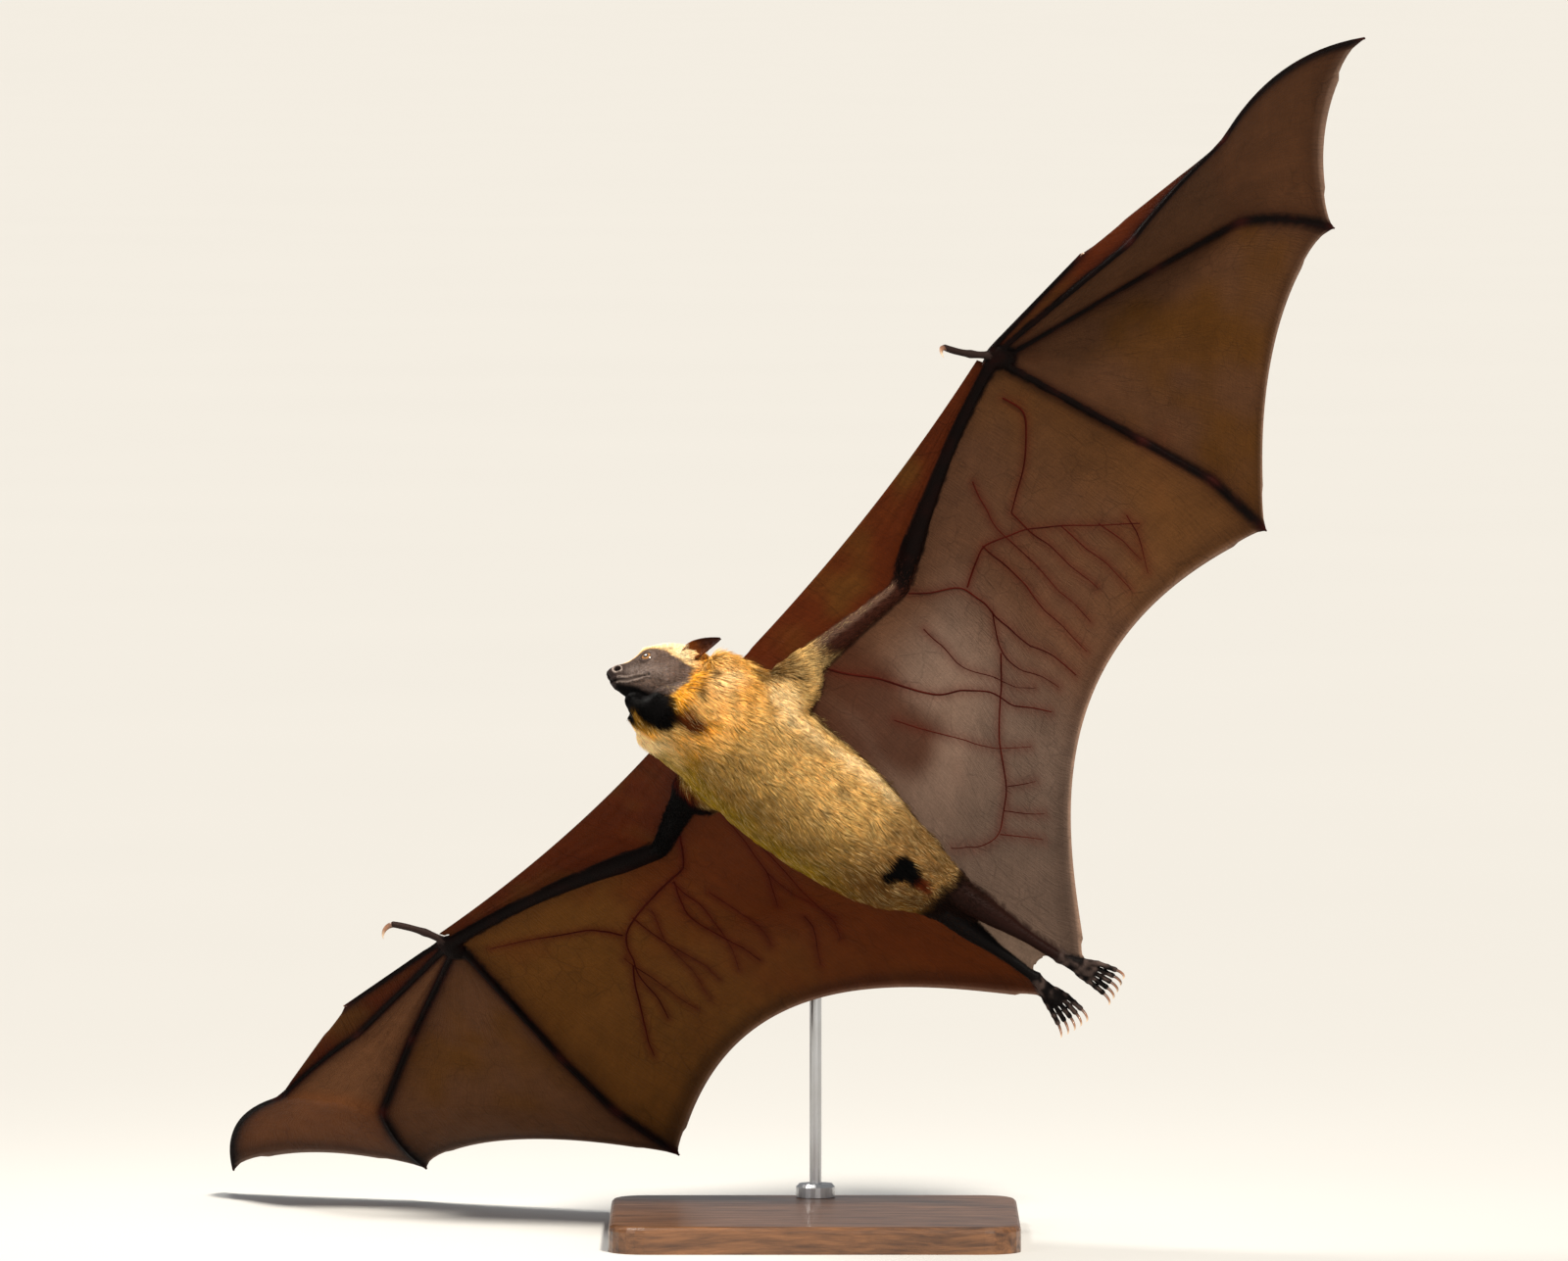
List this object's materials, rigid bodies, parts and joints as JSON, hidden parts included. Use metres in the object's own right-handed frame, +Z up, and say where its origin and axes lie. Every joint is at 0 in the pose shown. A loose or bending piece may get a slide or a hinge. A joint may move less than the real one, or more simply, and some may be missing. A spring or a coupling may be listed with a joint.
{
  "type": "flying fox bat display model",
  "caption": "Life-size flying fox in gliding flight, wings spread and banked, head turned aside, held by a bent rod on a flat base.",
  "frame": {"origin": "centre of the underside of the stand's base", "axes": "+Z up; the bat heads towards -X, its left wing points up and to +X, and its underside is turned towards -Y"},
  "size_m": [0.7534, 0.4969, 0.794],
  "materials": {
    "fur": "dense soft fur, cream-gold to rich orange-gold, buff on the belly",
    "face": "short grey-brown and black fur over dark skin",
    "ear": "thin dark brown naked skin",
    "eye": "amber-brown glass eye, wet gloss",
    "arm": "dark red-brown skin over arm and finger bones",
    "membrane": "thin brown wing skin with darker veins, slightly translucent",
    "leg": "black-brown skin, horn-coloured claws",
    "wood": "dark satin walnut",
    "steel": "satin steel"
  },
  "bodies": {
    "root": {"ear_left": "ear", "ear_right": "ear", "eye_left": "eye", "eye_right": "eye", "head": "face", "left_fifth_finger": "arm", "left_foot": "leg", "left_forearm": "arm", "left_fourth_finger": "arm", "left_index_finger": "arm", "left_index_membrane": "membrane", "left_leg": "leg", "left_middle_membrane": "membrane", "left_shoulder_membrane": "membrane", "left_side_membrane": "membrane", "left_third_finger": "arm", "left_thumb": "arm", "left_tip_membrane": "membrane", "left_upper_arm": "arm", "left_wrist": "arm", "neck": "fur", "right_fifth_finger": "arm", "right_foot": "leg", "right_forearm": "arm", "right_fourth_finger": "arm", "right_index_finger": "arm", "right_index_membrane": "membrane", "right_leg": "leg", "right_middle_membrane": "membrane", "right_shoulder_membrane": "membrane", "right_side_membrane": "membrane", "right_third_finger": "arm", "right_thumb": "arm", "right_tip_membrane": "membrane", "right_upper_arm": "arm", "right_wrist": "arm", "stand_base": "wood", "stand_collar": "steel", "stand_rod": "steel", "tail_membrane": "membrane", "trunk": "fur"}
  },
  "joints": []
}
